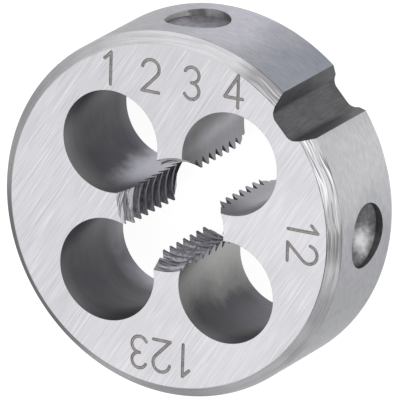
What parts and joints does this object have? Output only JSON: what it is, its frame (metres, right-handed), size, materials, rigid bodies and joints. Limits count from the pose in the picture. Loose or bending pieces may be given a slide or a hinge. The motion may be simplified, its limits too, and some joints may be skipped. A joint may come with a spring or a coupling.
{
  "type": "round threading die",
  "caption": "Round steel threading die with a threaded bore, chip holes round it, an adjusting notch and screw seats in the rim.",
  "frame": {"origin": "centre of the plain back face, which the die lies on", "axes": "+Z along the thread axis, out of the marked face; +X through a land and the first screw seat; +Y through a land and the second screw seat"},
  "size_m": [0.02, 0.02, 0.007],
  "materials": {
    "die_steel": "ground tool steel, satin on the rim"
  },
  "bodies": {
    "root": {"die_body": "die_steel"}
  },
  "joints": []
}
